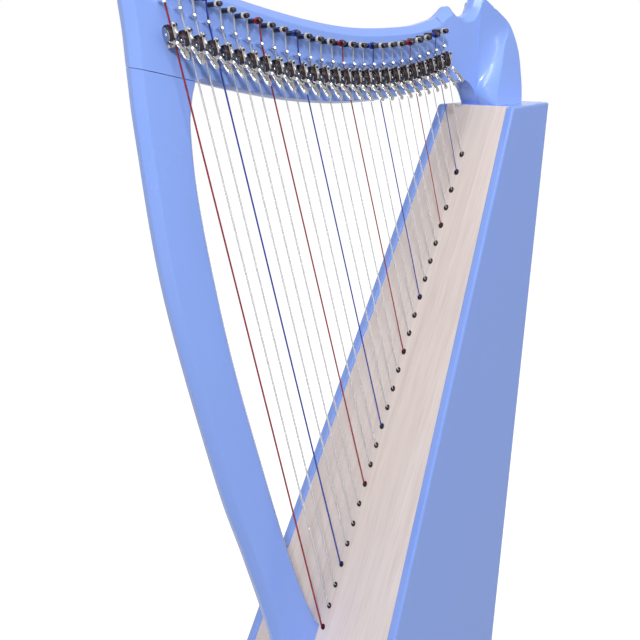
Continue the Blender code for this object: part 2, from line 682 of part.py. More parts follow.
def make_tuning_pins(metal):
    """One tapered pin for each string: wound end towards -Y, squared end for the key at +Y."""
    wound, squared = TUNING_Y
    profile = ((wound, TUNING_RADIUS - 0.5), (wound + 0.7, TUNING_RADIUS), (-13.2, TUNING_RADIUS),
               (-12.6, COIL_RADIUS), (-5.0, COIL_RADIUS), (-4.4, TUNING_RADIUS),
               (NECK_Y[3] + 8.0, TUNING_RADIUS),
               (NECK_Y[3] + 13.0, 2.4), (squared, 2.2))
    sides = 8
    points, faces = turned((0.0, 0.0, 0.0), (0.0, 1.0, 0.0), profile, sides)
    square_rings = 2
    for index in range(len(points) - square_rings * sides, len(points)):
        p = points[index]
        limit = 2.3 if index < len(points) - sides else 2.1
        points[index] = Vector((max(-limit, min(limit, p.x * 1.2)), p.y, max(-limit, min(limit, p.z * 1.2))))
    for k in range(STRINGS):
        name = "tuning_pin_" + str(k + 1).zfill(2)
        pin = build_object(name, [p + ORIGIN for p in points], faces, metal, smooth=40.0)
        pin.location = to_world(on_string(k, tuning_length(k), TUNING_SIDE))
        pin.rotation_euler = (0.0, math.radians(37.0 * k % 90.0), 0.0)


def make_levers(metal):
    mesh = lever_mesh(metal)
    mesh.shade_smooth()
    mesh.set_sharp_from_angle(angle=math.radians(35.0))
    for k in range(STRINGS):
        lever = bpy.data.objects.new("lever_" + str(k + 1).zfill(2), mesh)
        bpy.context.collection.objects.link(lever)
        lever.matrix_world = lever_frame(k)


def main():
    clear_scene()
    paint = finish("blue_lacquer", (0.30, 0.43, 0.87), 0.25)
    veneer = finish("maple_veneer", (0.76, 0.65, 0.58), 0.55)
    nylon = finish("string_nylon", (0.62, 0.60, 0.58), 0.35)
    chrome = finish("nickel_plate", (0.62, 0.62, 0.64), 0.22, 1.0)
    dark_steel = finish("blued_steel", (0.08, 0.07, 0.09), 0.35, 1.0)
    make_side("side_left", -1.0, paint)
    make_side("side_right", 1.0, paint)
    make_soundboard(veneer)
    make_back(paint)
    make_base(paint)
    make_column(paint)
    make_neck(paint, chrome)
    make_strings(nylon, veneer)
    make_tuning_pins(dark_steel)
    make_levers(chrome)


main()
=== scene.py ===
import math

import bmesh
import bpy
import numpy as np
from mathutils import Matrix, Quaternion, Vector


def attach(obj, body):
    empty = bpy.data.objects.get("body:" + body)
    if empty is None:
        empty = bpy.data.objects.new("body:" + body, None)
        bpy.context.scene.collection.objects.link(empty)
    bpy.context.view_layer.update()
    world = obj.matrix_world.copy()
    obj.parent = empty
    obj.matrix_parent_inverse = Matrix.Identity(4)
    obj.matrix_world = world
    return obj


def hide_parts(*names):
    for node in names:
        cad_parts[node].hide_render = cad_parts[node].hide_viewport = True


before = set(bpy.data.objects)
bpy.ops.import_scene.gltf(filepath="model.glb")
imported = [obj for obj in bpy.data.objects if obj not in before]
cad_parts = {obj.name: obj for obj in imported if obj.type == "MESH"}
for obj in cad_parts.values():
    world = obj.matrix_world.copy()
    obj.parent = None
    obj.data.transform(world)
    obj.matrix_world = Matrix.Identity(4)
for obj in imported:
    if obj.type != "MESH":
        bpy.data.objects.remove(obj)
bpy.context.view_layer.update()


# View: a camera level with the neck, in front of the harp and to its left, that looks a little
# down. The harp is drawn in millimetres from the lowest string's eyelet, as its maker would
# measure it, and placed() takes such points to metres above the floor.
MAKERS_ZERO = np.array([38.0, 0.0, -125.3])
CAMERA_PLACE = (-668.64, -973.66, 679.52)
CAMERA_TURN = math.radians(34.344)
CAMERA_DROP = math.radians(13.741)
CAMERA_ROLL = math.radians(-0.193)
LENS_MM = 59.48
SENSOR_MM = 36.0


def placed(points):
    """Points in the maker's millimetres, moved to the harp's zero on the floor and divided by 1000."""
    return (np.asarray(points, float) - MAKERS_ZERO) / 1000.0


camera_data = bpy.data.cameras.new("photo_camera")
camera_data.lens = LENS_MM
camera_data.sensor_width = SENSOR_MM
camera_data.sensor_fit = "HORIZONTAL"
camera_data.clip_start = 0.05
camera_data.clip_end = 60.0
camera = bpy.data.objects.new("photo_camera", camera_data)
bpy.context.scene.collection.objects.link(camera)
looking = Vector((math.sin(CAMERA_TURN) * math.cos(CAMERA_DROP),
                  math.cos(CAMERA_TURN) * math.cos(CAMERA_DROP), -math.sin(CAMERA_DROP)))
level = Vector((math.cos(CAMERA_TURN), -math.sin(CAMERA_TURN), 0.0))
upward = level.cross(looking)
right = level * math.cos(CAMERA_ROLL) + upward * math.sin(CAMERA_ROLL)
above = upward * math.cos(CAMERA_ROLL) - level * math.sin(CAMERA_ROLL)
camera.matrix_world = Matrix((
    (right.x, above.x, -looking.x, 0.0),
    (right.y, above.y, -looking.y, 0.0),
    (right.z, above.z, -looking.z, 0.0),
    (0.0, 0.0, 0.0, 1.0)))
camera.location = placed(CAMERA_PLACE)
bpy.context.scene.camera = camera


# Studio: a small softbox in front on the left throws the slanting shadows of the levers and pins.
# Two long strips, high on the left and in front on the right, light the soundboard and draw the
# streak in the shoulder's cove. The room and the paper floor are white where they are seen.
ROOM_COLOUR = (0.96, 0.97, 1.0, 1.0)
ROOM_LIGHT = 0.12
WHITE = (1.0, 1.0, 1.0, 1.0)
FLOOR_HALF = 14.0
PAPER_GREY = (0.36, 0.36, 0.36, 1.0)
PAPER_GLOW = 0.95


def soft_lamp(name, place, aim, size, watts, tilt=0.0):
    """An area lamp at a place, turned to face the point it aims at and tilted from the level."""
    lamp_data = bpy.data.lights.new(name, "AREA")
    lamp_data.shape = "RECTANGLE"
    lamp_data.size = size[0]
    lamp_data.size_y = size[1]
    lamp_data.energy = watts
    lamp = bpy.data.objects.new(name, lamp_data)
    bpy.context.scene.collection.objects.link(lamp)
    direction = Vector(aim) - Vector(place)
    facing = direction.to_track_quat("-Z", "Y") @ Quaternion((0.0, 0.0, 1.0), math.radians(tilt))
    lamp.rotation_euler = facing.to_euler()
    lamp.location = place


soft_lamp("front_softbox", (-1.85, -2.36, 2.1), (0.0, 0.0, 0.65), (0.3, 0.3), 58.0)
soft_lamp("left_strip", (-1.41, -0.88, 2.66), (0.1, 0.0, 0.7), (3.2, 0.35), 44.0)
soft_lamp("right_strip", (0.71, -2.2, 2.08), (0.24, 0.0, 0.78), (2.4, 0.14), 11.0, -29.0)


def background_rays(tree):
    """A socket that is 1 for the rays that show a background: camera, glossy and transmission."""
    path = tree.nodes.new("ShaderNodeLightPath")
    seen = path.outputs["Is Camera Ray"]
    for kind in ("Is Glossy Ray", "Is Transmission Ray"):
        either = tree.nodes.new("ShaderNodeMath")
        either.operation = "MAXIMUM"
        tree.links.new(seen, either.inputs[0])
        tree.links.new(path.outputs[kind], either.inputs[1])
        seen = either.outputs[0]
    return seen


room = bpy.data.worlds.new("white_room")
room.use_nodes = True
bpy.context.scene.world = room
room_nodes = room.node_tree.nodes
room_links = room.node_tree.links
room_nodes.clear()
room_out = room_nodes.new("ShaderNodeOutputWorld")
room_mix = room_nodes.new("ShaderNodeMixShader")
room_light = room_nodes.new("ShaderNodeBackground")
room_seen = room_nodes.new("ShaderNodeBackground")
room_light.inputs["Color"].default_value = ROOM_COLOUR
room_light.inputs["Strength"].default_value = ROOM_LIGHT
room_seen.inputs["Color"].default_value = WHITE
room_seen.inputs["Strength"].default_value = 1.0
room_links.new(background_rays(room.node_tree), room_mix.inputs["Fac"])
room_links.new(room_light.outputs[0], room_mix.inputs[1])
room_links.new(room_seen.outputs[0], room_mix.inputs[2])
room_links.new(room_mix.outputs[0], room_out.inputs["Surface"])
bpy.context.scene.view_settings.view_transform = "Standard"

floor_mesh = bpy.data.meshes.new("floor")
floor_corners = [(x * FLOOR_HALF, y * FLOOR_HALF, 0.0) for x, y in ((-1, -1), (1, -1), (1, 1), (-1, 1))]
floor_mesh.from_pydata(floor_corners, [], [(0, 1, 2, 3)])
floor = bpy.data.objects.new("floor", floor_mesh)
bpy.context.scene.collection.objects.link(floor)
floor_paper = bpy.data.materials.new("white_floor")
floor_paper.use_nodes = True
paper_nodes = floor_paper.node_tree.nodes
paper_links = floor_paper.node_tree.links
paper_shader = paper_nodes["Principled BSDF"]
paper_shader.inputs["Base Color"].default_value = PAPER_GREY
paper_shader.inputs["Roughness"].default_value = 0.9
paper_shader.inputs["Emission Color"].default_value = WHITE
paper_glow = paper_nodes.new("ShaderNodeMath")
paper_glow.operation = "MULTIPLY"
paper_glow.inputs[1].default_value = PAPER_GLOW
paper_links.new(background_rays(floor_paper.node_tree), paper_glow.inputs[0])
paper_links.new(paper_glow.outputs[0], paper_shader.inputs["Emission Strength"])
floor_mesh.materials.append(floor_paper)


# Column: a sawn and chamfered board 30 mm thick in smooth blue lacquer, bowed away from the
# strings. It is glued under the neck's head and runs down the front of the soundboard to the base.
BOARD_LEAN = math.radians(19.97)
BOARD_UP = np.array([math.sin(BOARD_LEAN), 0.0, math.cos(BOARD_LEAN)])
BOARD_OUT = np.array([-math.cos(BOARD_LEAN), 0.0, math.sin(BOARD_LEAN)])
BOX_FLOOR = -105.0                            # the top of the base board
GAP = 0.3                                     # between pieces that are glued or screwed together
EASED_EDGE = 0.6
# Depths of the board's near face, of the chamfers' ends on its edge, and of its far face
NECK_NEAR = 8.0
CHAMFER_NEAR = 18.0
CHAMFER_FAR = 28.0
NECK_FAR = 38.0
CORNER_STEPS = (0.0, 0.33, 0.67, 1.0)
CURVE_STEPS = 9
JOINT_INNER = np.array([-145.0, 659.4])
JOINT_OUTER = np.array([-217.4, 674.6])
JOINT_ALONG = (JOINT_OUTER - JOINT_INNER) / np.linalg.norm(JOINT_OUTER - JOINT_INNER)
# Edges of the column as (x, z, chamfer): the outer one downwards, then the inner one upwards
COLUMN_OUTER = ((-217.4, 673.9, 9), (-210.3, 600, 9), (-186, 433, 9), (-131, 215, 9), (-96.5, 108, 9),
                (-68.5, 18, 9), (-60, -22, 8), (-63, -55, 6), (-72, -83, 3), (-88, BOX_FLOOR, 0.6))
COLUMN_INNER = ((-3.5, 0, 0.6), (-23, 57, 5), (-46.5, 129, 6), (-68.5, 206, 6), (-103.5, 334, 6),
                (-125.5, 430, 6), (-145.5, 539, 6), (-151.8, 610, 6), (-149.5, 640, 6), (-145, 658.7, 6))


def curve_through(points, steps):
    """A Catmull-Rom curve: each span blends its two points and their neighbours by cubics in t."""
    p = np.asarray(points, float)
    p = np.vstack([2 * p[0] - p[1], p, 2 * p[-1] - p[-2]])
    t = (np.arange(steps) / steps)[None, :, None]
    p0, p1, p2, p3 = (p[i:len(p) - 3 + i, None, :] for i in range(4))
    spans = 0.5 * (2 * p1 + (p2 - p0) * t + (2 * p0 - 5 * p1 + 4 * p2 - p3) * t ** 2
                   + (3 * p1 - p0 - 3 * p2 + p3) * t ** 3)
    return np.vstack([spans.reshape(-1, p.shape[1]), p[-2]])


def outline_inward(outline):
    """Unit vectors into a closed anticlockwise outline: the two edge normals of each point, added."""
    edge = np.roll(outline, -1, axis=0) - outline
    edge = edge / np.linalg.norm(edge, axis=1, keepdims=True)
    both = edge + np.roll(edge, 1, axis=0)
    inward = np.stack([-both[:, 1], both[:, 0]], axis=1)
    return inward / np.linalg.norm(inward, axis=1, keepdims=True)


def grid_faces(rows, columns):
    """Quads of a grid whose rows are closed rings, with the first and the last ring as end caps."""
    r, c = np.meshgrid(np.arange(rows - 1), np.arange(columns), indexing="ij")
    low = r * columns + c
    next_low = r * columns + (c + 1) % columns
    quads = np.stack([low, next_low, next_low + columns, low + columns], axis=-1).reshape(-1, 4)
    faces = quads.tolist()
    faces.append(list(range(columns - 1, -1, -1)))
    faces.append(list(range((rows - 1) * columns, rows * columns)))
    return faces


def chamfered_board(outline, near, far, soft=0.9):
    """Rings round a board: its outline in the middle of the thickness, smaller outlines on its faces.

    The section goes face, chamfer, edge, chamfer, face; each of its four corners is rounded by a
    quadratic curve from a point `soft` mm before it to one `soft` mm after it.
    """
    def at_depth(flat, y):
        return np.stack([flat[:, 0], np.full(len(flat), y), flat[:, 1]], axis=1)

    corners = np.stack([at_depth(2 * near - outline, NECK_NEAR), at_depth(near, NECK_NEAR),
                        at_depth(outline, CHAMFER_NEAR), at_depth(outline, CHAMFER_FAR),
                        at_depth(far, NECK_FAR), at_depth(2 * far - outline, NECK_FAR)])
    width = np.minimum(np.linalg.norm(near - outline, axis=1), np.linalg.norm(far - outline, axis=1))
    reach = np.minimum(soft, 0.45 * width)[:, None]
    rings = []
    for i in range(1, 5):
        before = corners[i - 1] - corners[i]
        after = corners[i + 1] - corners[i]
        start = corners[i] + before / np.linalg.norm(before, axis=1, keepdims=True) * reach
        end = corners[i] + after / np.linalg.norm(after, axis=1, keepdims=True) * reach
        for t in CORNER_STEPS:
            rings.append((1 - t) ** 2 * start + 2 * t * (1 - t) * corners[i] + t * t * end)
    return np.vstack(rings), grid_faces(len(rings), len(outline))


def make_piece(name, shells, materials, sharp=28.0):
    """One object from closed shells of (points in the maker's millimetres, faces, material number)."""
    points = []
    faces = []
    numbers = []
    start = 0
    for shell_points, shell_faces, number in shells:
        points.append(placed(shell_points))
        faces.extend([[start + i for i in face] for face in shell_faces])
        numbers.extend([number] * len(shell_faces))
        start += len(shell_points)
    mesh = bpy.data.meshes.new(name)
    mesh.from_pydata(np.vstack(points).tolist(), [], faces)
    mesh.polygons.foreach_set("material_index", numbers)
    outwards = bmesh.new()
    outwards.from_mesh(mesh)
    bmesh.ops.recalc_face_normals(outwards, faces=outwards.faces)
    outwards.to_mesh(mesh)
    outwards.free()
    for material in materials:
        mesh.materials.append(material)
    mesh.shade_smooth()
    mesh.set_sharp_from_angle(angle=math.radians(sharp))
    thing = bpy.data.objects.new(name, mesh)
    bpy.context.scene.collection.objects.link(thing)
    return thing


def board_line(depth, z):
    """X where the plane `depth` mm under the soundboard's face has the height z."""
    return -BOARD_OUT[0] * depth + (z + BOARD_OUT[2] * depth) * BOARD_UP[0] / BOARD_UP[2]


def marks_group():
    """Marks of handling, for every finish: a cloudy mask, and the dullness that it spreads."""
    group = bpy.data.node_groups.new("handling_marks", "ShaderNodeTree")
    group.interface.new_socket("Vector", in_out="INPUT", socket_type="NodeSocketVector")
    for label in ("Scale", "Shiny", "Dull"):
        group.interface.new_socket(label, in_out="INPUT", socket_type="NodeSocketFloat")
    for label in ("Mask", "Roughness"):
        group.interface.new_socket(label, in_out="OUTPUT", socket_type="NodeSocketFloat")
    given = group.nodes.new("NodeGroupInput")
    result = group.nodes.new("NodeGroupOutput")
    cloud = group.nodes.new("ShaderNodeTexNoise")
    cloud.inputs["Detail"].default_value = 5.0
    spread = group.nodes.new("ShaderNodeMapRange")
    spread.inputs["From Min"].default_value = 0.25
    spread.inputs["From Max"].default_value = 0.75
    spread.interpolation_type = "SMOOTHSTEP"
    group.links.new(given.outputs["Vector"], cloud.inputs["Vector"])
    group.links.new(given.outputs["Scale"], cloud.inputs["Scale"])
    group.links.new(given.outputs["Shiny"], spread.inputs["To Min"])
    group.links.new(given.outputs["Dull"], spread.inputs["To Max"])
    group.links.new(cloud.outputs["Fac"], spread.inputs["Value"])
    group.links.new(cloud.outputs["Fac"], result.inputs["Mask"])
    group.links.new(spread.outputs["Result"], result.inputs["Roughness"])
    return group


handling_marks = marks_group()


def marked_finish(name, colour, paler, scale, shiny, dull, metal=0.0):
    """A material whose colour goes from `colour` to `paler`, and shiny to dull, with its marks."""
    material = bpy.data.materials.new(name)
    material.use_nodes = True
    nodes = material.node_tree.nodes
    links = material.node_tree.links
    shader = nodes["Principled BSDF"]
    shader.inputs["Metallic"].default_value = metal
    place = nodes.new("ShaderNodeTexCoord")
    marks = nodes.new("ShaderNodeGroup")
    marks.node_tree = handling_marks
    marks.inputs["Scale"].default_value = scale
    marks.inputs["Shiny"].default_value = shiny
    marks.inputs["Dull"].default_value = dull
    tint = nodes.new("ShaderNodeMix")
    tint.data_type = "RGBA"
    tint.inputs["A"].default_value = (*colour, 1.0)
    tint.inputs["B"].default_value = (*paler, 1.0)
    links.new(place.outputs["Object"], marks.inputs["Vector"])
    links.new(marks.outputs["Mask"], tint.inputs["Factor"])
    links.new(tint.outputs["Result"], shader.inputs["Base Color"])
    links.new(marks.outputs["Roughness"], shader.inputs["Roughness"])
    return material


blue_lacquer = marked_finish("blue_lacquer", (0.249, 0.392, 0.900), (0.258, 0.405, 0.922), 6.0, 0.20, 0.28)
lacquer_nodes = blue_lacquer.node_tree.nodes
lacquer_shader = lacquer_nodes["Principled BSDF"]
lacquer_shader.inputs["Specular IOR Level"].default_value = 0.3
lacquer_shader.inputs["Coat Weight"].default_value = 0.25
lacquer_shader.inputs["Coat Roughness"].default_value = 0.10
lacquer_peel = lacquer_nodes.new("ShaderNodeTexNoise")
lacquer_peel.inputs["Scale"].default_value = 330.0
lacquer_peel.inputs["Detail"].default_value = 2.0
lacquer_relief = lacquer_nodes.new("ShaderNodeBump")
lacquer_relief.inputs["Strength"].default_value = 0.05
lacquer_relief.inputs["Distance"].default_value = 0.0004
lacquer_links = blue_lacquer.node_tree.links
lacquer_links.new(lacquer_nodes["Texture Coordinate"].outputs["Object"], lacquer_peel.inputs["Vector"])
lacquer_links.new(lacquer_peel.outputs["Fac"], lacquer_relief.inputs["Height"])
lacquer_links.new(lacquer_relief.outputs["Normal"], lacquer_shader.inputs["Normal"])

column_foot = [(board_line(-GAP, z), z, EASED_EDGE) for z in (BOX_FLOOR, 0.0)]
column_edge = np.vstack([curve_through(COLUMN_OUTER, CURVE_STEPS), column_foot,
                         curve_through(COLUMN_INNER, CURVE_STEPS)[1:]])
column_outline = column_edge[:, :2]
column_inward = outline_inward(column_outline)
column_inward[0] = -JOINT_ALONG
column_inward[-1] = JOINT_ALONG
column_face = column_outline + column_inward * column_edge[:, 2:]
column = make_piece("column_board", [(*chamfered_board(column_outline, column_face, column_face), 0)],
                    [blue_lacquer])
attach(column, "frame")
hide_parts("column")


# Neck: the curved board that the pins and levers are fixed to, chamfered round its edges, with a
# rounded head over the column and a scroll of two small horns at its treble end.
NECK_UNDER = ((*JOINT_INNER, 6), (-97, 649, 3), (-35, 638.5, 3), (32, 633.5, 3), (102, 637, 3),
              (162, 646.5, 3), (200, 654.9, 2), (209, 656.6, 1.5), (214.5, 656, 1.2), (219.5, 653.9, 1),
              (224.2, 650.4, 1), (228, 646.2, 1), (231, 641.6, 1), (233.4, 637, 0.8), (235.4, 632.6, 0.6),
              (237.5, 628.5, 0.6))
NECK_END = ((262, 628.5, 0.6), (272, 645, 0.6), (279, 668, 0.6), (281, 692, 0.6), (274, 712, 0.6),
            (264, 730, 0.6), (258.8, 743.6, 0.8))
NECK_TOP = ((176, 730, 9), (166, 726, 8.5), (130, 718.5, 8.5), (58, 716, 9), (-9, 724, 9), (-90, 742, 8.8),
            (-140, 758, 8.4), (-172, 777, 9), (-193, 787.5, 9), (-212, 787, 9), (-222.5, 770, 9),
            (-224, 745, 9), (-220, 710, 9), (*JOINT_OUTER, 9))
# The scroll from right to left: its edge, and the edge of the flat face inside its wide chamfers
NECK_HORNS = ((251, 753, 247.4, 750.2), (246.5, 757.5, 244.8, 752.4), (242, 758.5, 243.4, 753),
              (238.3, 755.5, 242.3, 752), (235, 749, 240.2, 747.6), (232, 741.5, 235.7, 739.3),
              (229, 738, 233.2, 733.8), (225.5, 735, 229.5, 729), (220, 732.3, 224.3, 725.6),
              (213.5, 731.2, 216.6, 724.3), (207.5, 731.9, 209.3, 725.3), (203.9, 733.9, 204.2, 727.5),
              (200.7, 737.3, 199.6, 729.4), (197.4, 740.6, 195.9, 731), (193.5, 742.7, 192.6, 731.6),
              (189.3, 741, 188.9, 730.2), (184.4, 736.6, 184.3, 727.2), (176, 730, 176.9, 722.4))
FAR_CHAMFER = 6.0                             # along the underside's far edge, up to the throat
FAR_SHARE = 0.6                               # of the near chamfer, which it is at least
THROAT_X = (176.0, 212.0)                     # where it runs out

under_edge = curve_through(NECK_UNDER, 8)
horn_edge = curve_through(NECK_HORNS, 4)
horn_outline = np.column_stack([horn_edge[:, :2], np.ones(len(horn_edge))])
neck_edge = np.vstack([under_edge, NECK_END, horn_outline, curve_through(NECK_TOP, 8)[1:]])
neck_outline = neck_edge[:, :2]
neck_inward = outline_inward(neck_outline)
neck_inward[0] = JOINT_ALONG
neck_inward[-1] = -JOINT_ALONG
far_chamfer = neck_edge[:, 2:].copy()
underside = len(under_edge)
throat_share = np.clip((THROAT_X[1] - under_edge[:, :1]) / (THROAT_X[1] - THROAT_X[0]), 0.0, 1.0)
far_chamfer[:underside] = np.maximum(far_chamfer[:underside] * FAR_SHARE, FAR_CHAMFER * throat_share)
neck_near_face = neck_outline + neck_inward * neck_edge[:, 2:]
neck_far_face = neck_outline + neck_inward * far_chamfer
horns = slice(underside + len(NECK_END), underside + len(NECK_END) + len(horn_edge))
neck_near_face[horns] = horn_edge[:, 2:]
neck_far_face[horns] = horn_edge[:, 2:]
neck = make_piece("neck_board", [(*chamfered_board(neck_outline, neck_near_face, neck_far_face, 0.7), 0)],
                  [blue_lacquer], sharp=40.0)
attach(neck, "frame")
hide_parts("neck")


# Shoulder: the block that the neck widens into before it lands on the soundbox. A scooped cove
# runs up its near side from a soft crease to a sharp front edge, and the edges are eased.
SHOULDER_SKIN = 0.8                           # in front of and behind the neck's board
SHOULDER_BACK = 9.0                           # that the far side reaches past the near one
COVE_STEPS = 18
SHOULDER_EASED_M = 0.0009
# Crease x and z, front edge x, y and z, back x, from the soundbox upwards
SHOULDER_LEVELS = ((238.9, 624.0, 234.6, -27.0, 624.0, 275.8), (235.9, 632.8, 234.6, -27.0, 626.6, 276.0),
                   (234.2, 641.0, 234.6, -27.0, 628.2, 276.2),
                   (234.0, 651.5, 240.0, -22.7, 638.5, 281.1), (234.0, 668.0, 250.0, -15.8, 657.5, 287.1),
                   (234.2, 690.0, 260.5, -8.4, 677.5, 292.0), (234.8, 712.0, 271.5, -0.4, 699.0, 294.6),
                   (235.6, 727.0, 282.0, 5.6, 716.0, 289.8), (236.8, 738.0, 277.5, 7.2, 727.5, 282.0),
                   (239.6, 748.5, 260.0, 7.2, 741.0, 262.8))


def shoulder_rings(levels):
    """Slanting sections: the cove is a quarter ellipse, x by sin t and y by 1 - cos t.

    Each section is a plane through its crease and front edge, so a point's height falls with its
    distance from the crease, measured towards the edge.
    """
    left_x, left_z, edge_x, edge_y, edge_z, back_x = levels.T[:, :, None]
    crease_y = NECK_NEAR - SHOULDER_SKIN
    far_y = NECK_FAR + SHOULDER_SKIN
    run_x = edge_x - left_x
    run_y = edge_y - crease_y
    turn = (math.pi / 2.0 * np.arange(COVE_STEPS + 1) / COVE_STEPS)[None]
    far = np.full_like(left_x, far_y)
    x = np.hstack([left_x, left_x + run_x * np.sin(turn), back_x, back_x + SHOULDER_BACK])
    y = np.hstack([far, crease_y + run_y * (1.0 - np.cos(turn)), edge_y, far])
    share = (run_x * (x - left_x) + run_y * (y - crease_y)) / (run_x ** 2 + run_y ** 2)
    z = left_z + (edge_z - left_z) * share
    return np.stack([x, y, z], axis=-1).reshape(-1, 3), grid_faces(len(levels), x.shape[1])


shoulder_levels = curve_through(SHOULDER_LEVELS, 5)
shoulder = make_piece("shoulder_block", [(*shoulder_rings(shoulder_levels), 0)], [blue_lacquer])
shoulder_edges = shoulder.modifiers.new("Eased edges", "BEVEL")
shoulder_edges.width = SHOULDER_EASED_M
shoulder_edges.segments = 3
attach(shoulder, "frame")


# Soundbox: two tapering sides 13 mm thick with rounded front edges, a back panel with sound
# holes, a cover plate under the shoulder and a base board on four pads, all in the blue lacquer.
BOX_TOP = 665.9                               # along the board, from the lowest eyelet
TRIM_PROUD = 3.2                              # of the sides' front edges, in front of the board
TOP_DEPTH = 75.7
TOP_RISE = math.radians(2.85)
TOP_HALF = 67.05                              # half of the width at the front of the top
FLARE = 0.096                                 # of that half, for each mm down the board
DEPTH_GAIN = 0.209                            # of the depth, for each mm down the board
SIDE_TAPER = 0.215                            # of half of the width, for each mm to the back
SIDE_THICK = 13.0
PLATE_THICK = 12.0
BOARD_THICK = 4.0
BACK_THICK = 6.0
PLATE_EASED_M = 0.0006
for carried in ("side_left", "side_right", "back_panel", "base"):
    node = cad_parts[carried]
    node.data.materials.clear()
    node.data.materials.append(blue_lacquer)

front_top = BOARD_UP * BOX_TOP + BOARD_OUT * TRIM_PROUD
low_station = (BOX_FLOOR - BOARD_OUT[2] * TRIM_PROUD) / BOARD_UP[2]
front_low = BOARD_UP * low_station + BOARD_OUT * TRIM_PROUD
top_along = np.array([math.cos(TOP_RISE), 0.0, math.sin(TOP_RISE)])
back_top = front_top + top_along * TOP_DEPTH
back_hint = front_low + top_along * (TOP_DEPTH + DEPTH_GAIN * (BOX_TOP - low_station))
back_slope = (back_hint[0] - back_top[0]) / (back_hint[2] - back_top[2])
known_places = [(1.0, front_top[0], front_top[2]), (1.0, front_low[0], front_low[2]),
                (1.0, back_top[0], back_top[2])]
known_halves = [TOP_HALF, TOP_HALF + FLARE * (BOX_TOP - low_station), TOP_HALF - SIDE_TAPER * TOP_DEPTH]
half_terms = np.linalg.solve(known_places, known_halves)


def plate_outline():
    """Corners (x, z) of the cover plate, from the board's back face to the back panel's inside."""
    corners = []
    for drop in (0.0, PLATE_THICK):
        front = board_line(BOARD_THICK + GAP, front_top[2] - drop)
        back = back_top[0] - drop * back_slope - BACK_THICK - GAP
        pair = [(x, front_top[2] + (x - front_top[0]) * math.tan(TOP_RISE) - drop) for x in (front, back)]
        corners.extend(pair if drop == 0.0 else reversed(pair))
    return np.array(corners)


plate_xz = plate_outline()
box_half = half_terms[0] + half_terms[1] * plate_xz[:, 0] + half_terms[2] * plate_xz[:, 1]
plate_half = box_half - SIDE_THICK - GAP
plate_points = np.vstack([np.column_stack([plate_xz[:, 0], sign * plate_half, plate_xz[:, 1]])
                          for sign in (-1.0, 1.0)])
cover_plate = make_piece("cover_plate", [(plate_points, grid_faces(2, 4), 0)], [blue_lacquer])
cover_edges = cover_plate.modifiers.new("Eased edges", "BEVEL")
cover_edges.width = PLATE_EASED_M
cover_edges.segments = 2
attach(cover_plate, "frame")


# Soundboard: a flat board faced with pale veneer, its fine grain running up the harp.
VENEER_DARK = (0.775, 0.672, 0.632, 1.0)
VENEER_PALE = (0.870, 0.768, 0.728, 1.0)
maple_veneer = bpy.data.materials.new("maple_veneer")
maple_veneer.use_nodes = True
veneer_nodes = maple_veneer.node_tree.nodes
veneer_links = maple_veneer.node_tree.links
veneer_shader = veneer_nodes["Principled BSDF"]
veneer_place = veneer_nodes.new("ShaderNodeTexCoord")
veneer_turn = veneer_nodes.new("ShaderNodeMapping")
veneer_turn.inputs["Rotation"].default_value = (0.0, -BOARD_LEAN, 0.0)
veneer_stretch = veneer_nodes.new("ShaderNodeMapping")
veneer_stretch.inputs["Scale"].default_value = (1.0, 1.0, 0.035)
veneer_bands = veneer_nodes.new("ShaderNodeTexNoise")
veneer_bands.inputs["Scale"].default_value = 70.0
veneer_bands.inputs["Detail"].default_value = 5.0
veneer_bands.inputs["Distortion"].default_value = 0.6
veneer_hairs = veneer_nodes.new("ShaderNodeTexNoise")
veneer_hairs.inputs["Scale"].default_value = 620.0
veneer_hairs.inputs["Detail"].default_value = 3.0
veneer_colour = veneer_nodes.new("ShaderNodeValToRGB")
veneer_colour.color_ramp.elements[0].position = 0.30
veneer_colour.color_ramp.elements[0].color = VENEER_DARK
veneer_colour.color_ramp.elements[1].position = 0.72
veneer_colour.color_ramp.elements[1].color = VENEER_PALE
veneer_pores = veneer_nodes.new("ShaderNodeValToRGB")
veneer_pores.color_ramp.elements[0].position = 0.36
veneer_pores.color_ramp.elements[0].color = (0.80, 0.76, 0.74, 1.0)
veneer_pores.color_ramp.elements[1].position = 0.52
veneer_pores.color_ramp.elements[1].color = (1.0, 1.0, 1.0, 1.0)
veneer_fine = veneer_nodes.new("ShaderNodeMix")
veneer_fine.data_type = "RGBA"
veneer_fine.blend_type = "MULTIPLY"
veneer_fine.inputs["Factor"].default_value = 0.35
veneer_relief = veneer_nodes.new("ShaderNodeBump")
veneer_relief.inputs["Strength"].default_value = 0.12
veneer_relief.inputs["Distance"].default_value = 0.0002
veneer_marks = veneer_nodes.new("ShaderNodeGroup")
veneer_marks.node_tree = handling_marks
veneer_marks.inputs["Scale"].default_value = 18.0
veneer_marks.inputs["Shiny"].default_value = 0.40
veneer_marks.inputs["Dull"].default_value = 0.58
veneer_links.new(veneer_place.outputs["Object"], veneer_turn.inputs["Vector"])
veneer_links.new(veneer_place.outputs["Object"], veneer_marks.inputs["Vector"])
veneer_links.new(veneer_turn.outputs["Vector"], veneer_stretch.inputs["Vector"])
veneer_links.new(veneer_stretch.outputs["Vector"], veneer_bands.inputs["Vector"])
veneer_links.new(veneer_stretch.outputs["Vector"], veneer_hairs.inputs["Vector"])
veneer_links.new(veneer_bands.outputs["Fac"], veneer_colour.inputs["Fac"])
veneer_links.new(veneer_hairs.outputs["Fac"], veneer_pores.inputs["Fac"])
veneer_links.new(veneer_colour.outputs["Color"], veneer_fine.inputs["A"])
veneer_links.new(veneer_pores.outputs["Color"], veneer_fine.inputs["B"])
veneer_links.new(veneer_fine.outputs["Result"], veneer_shader.inputs["Base Color"])
veneer_links.new(veneer_marks.outputs["Roughness"], veneer_shader.inputs["Roughness"])
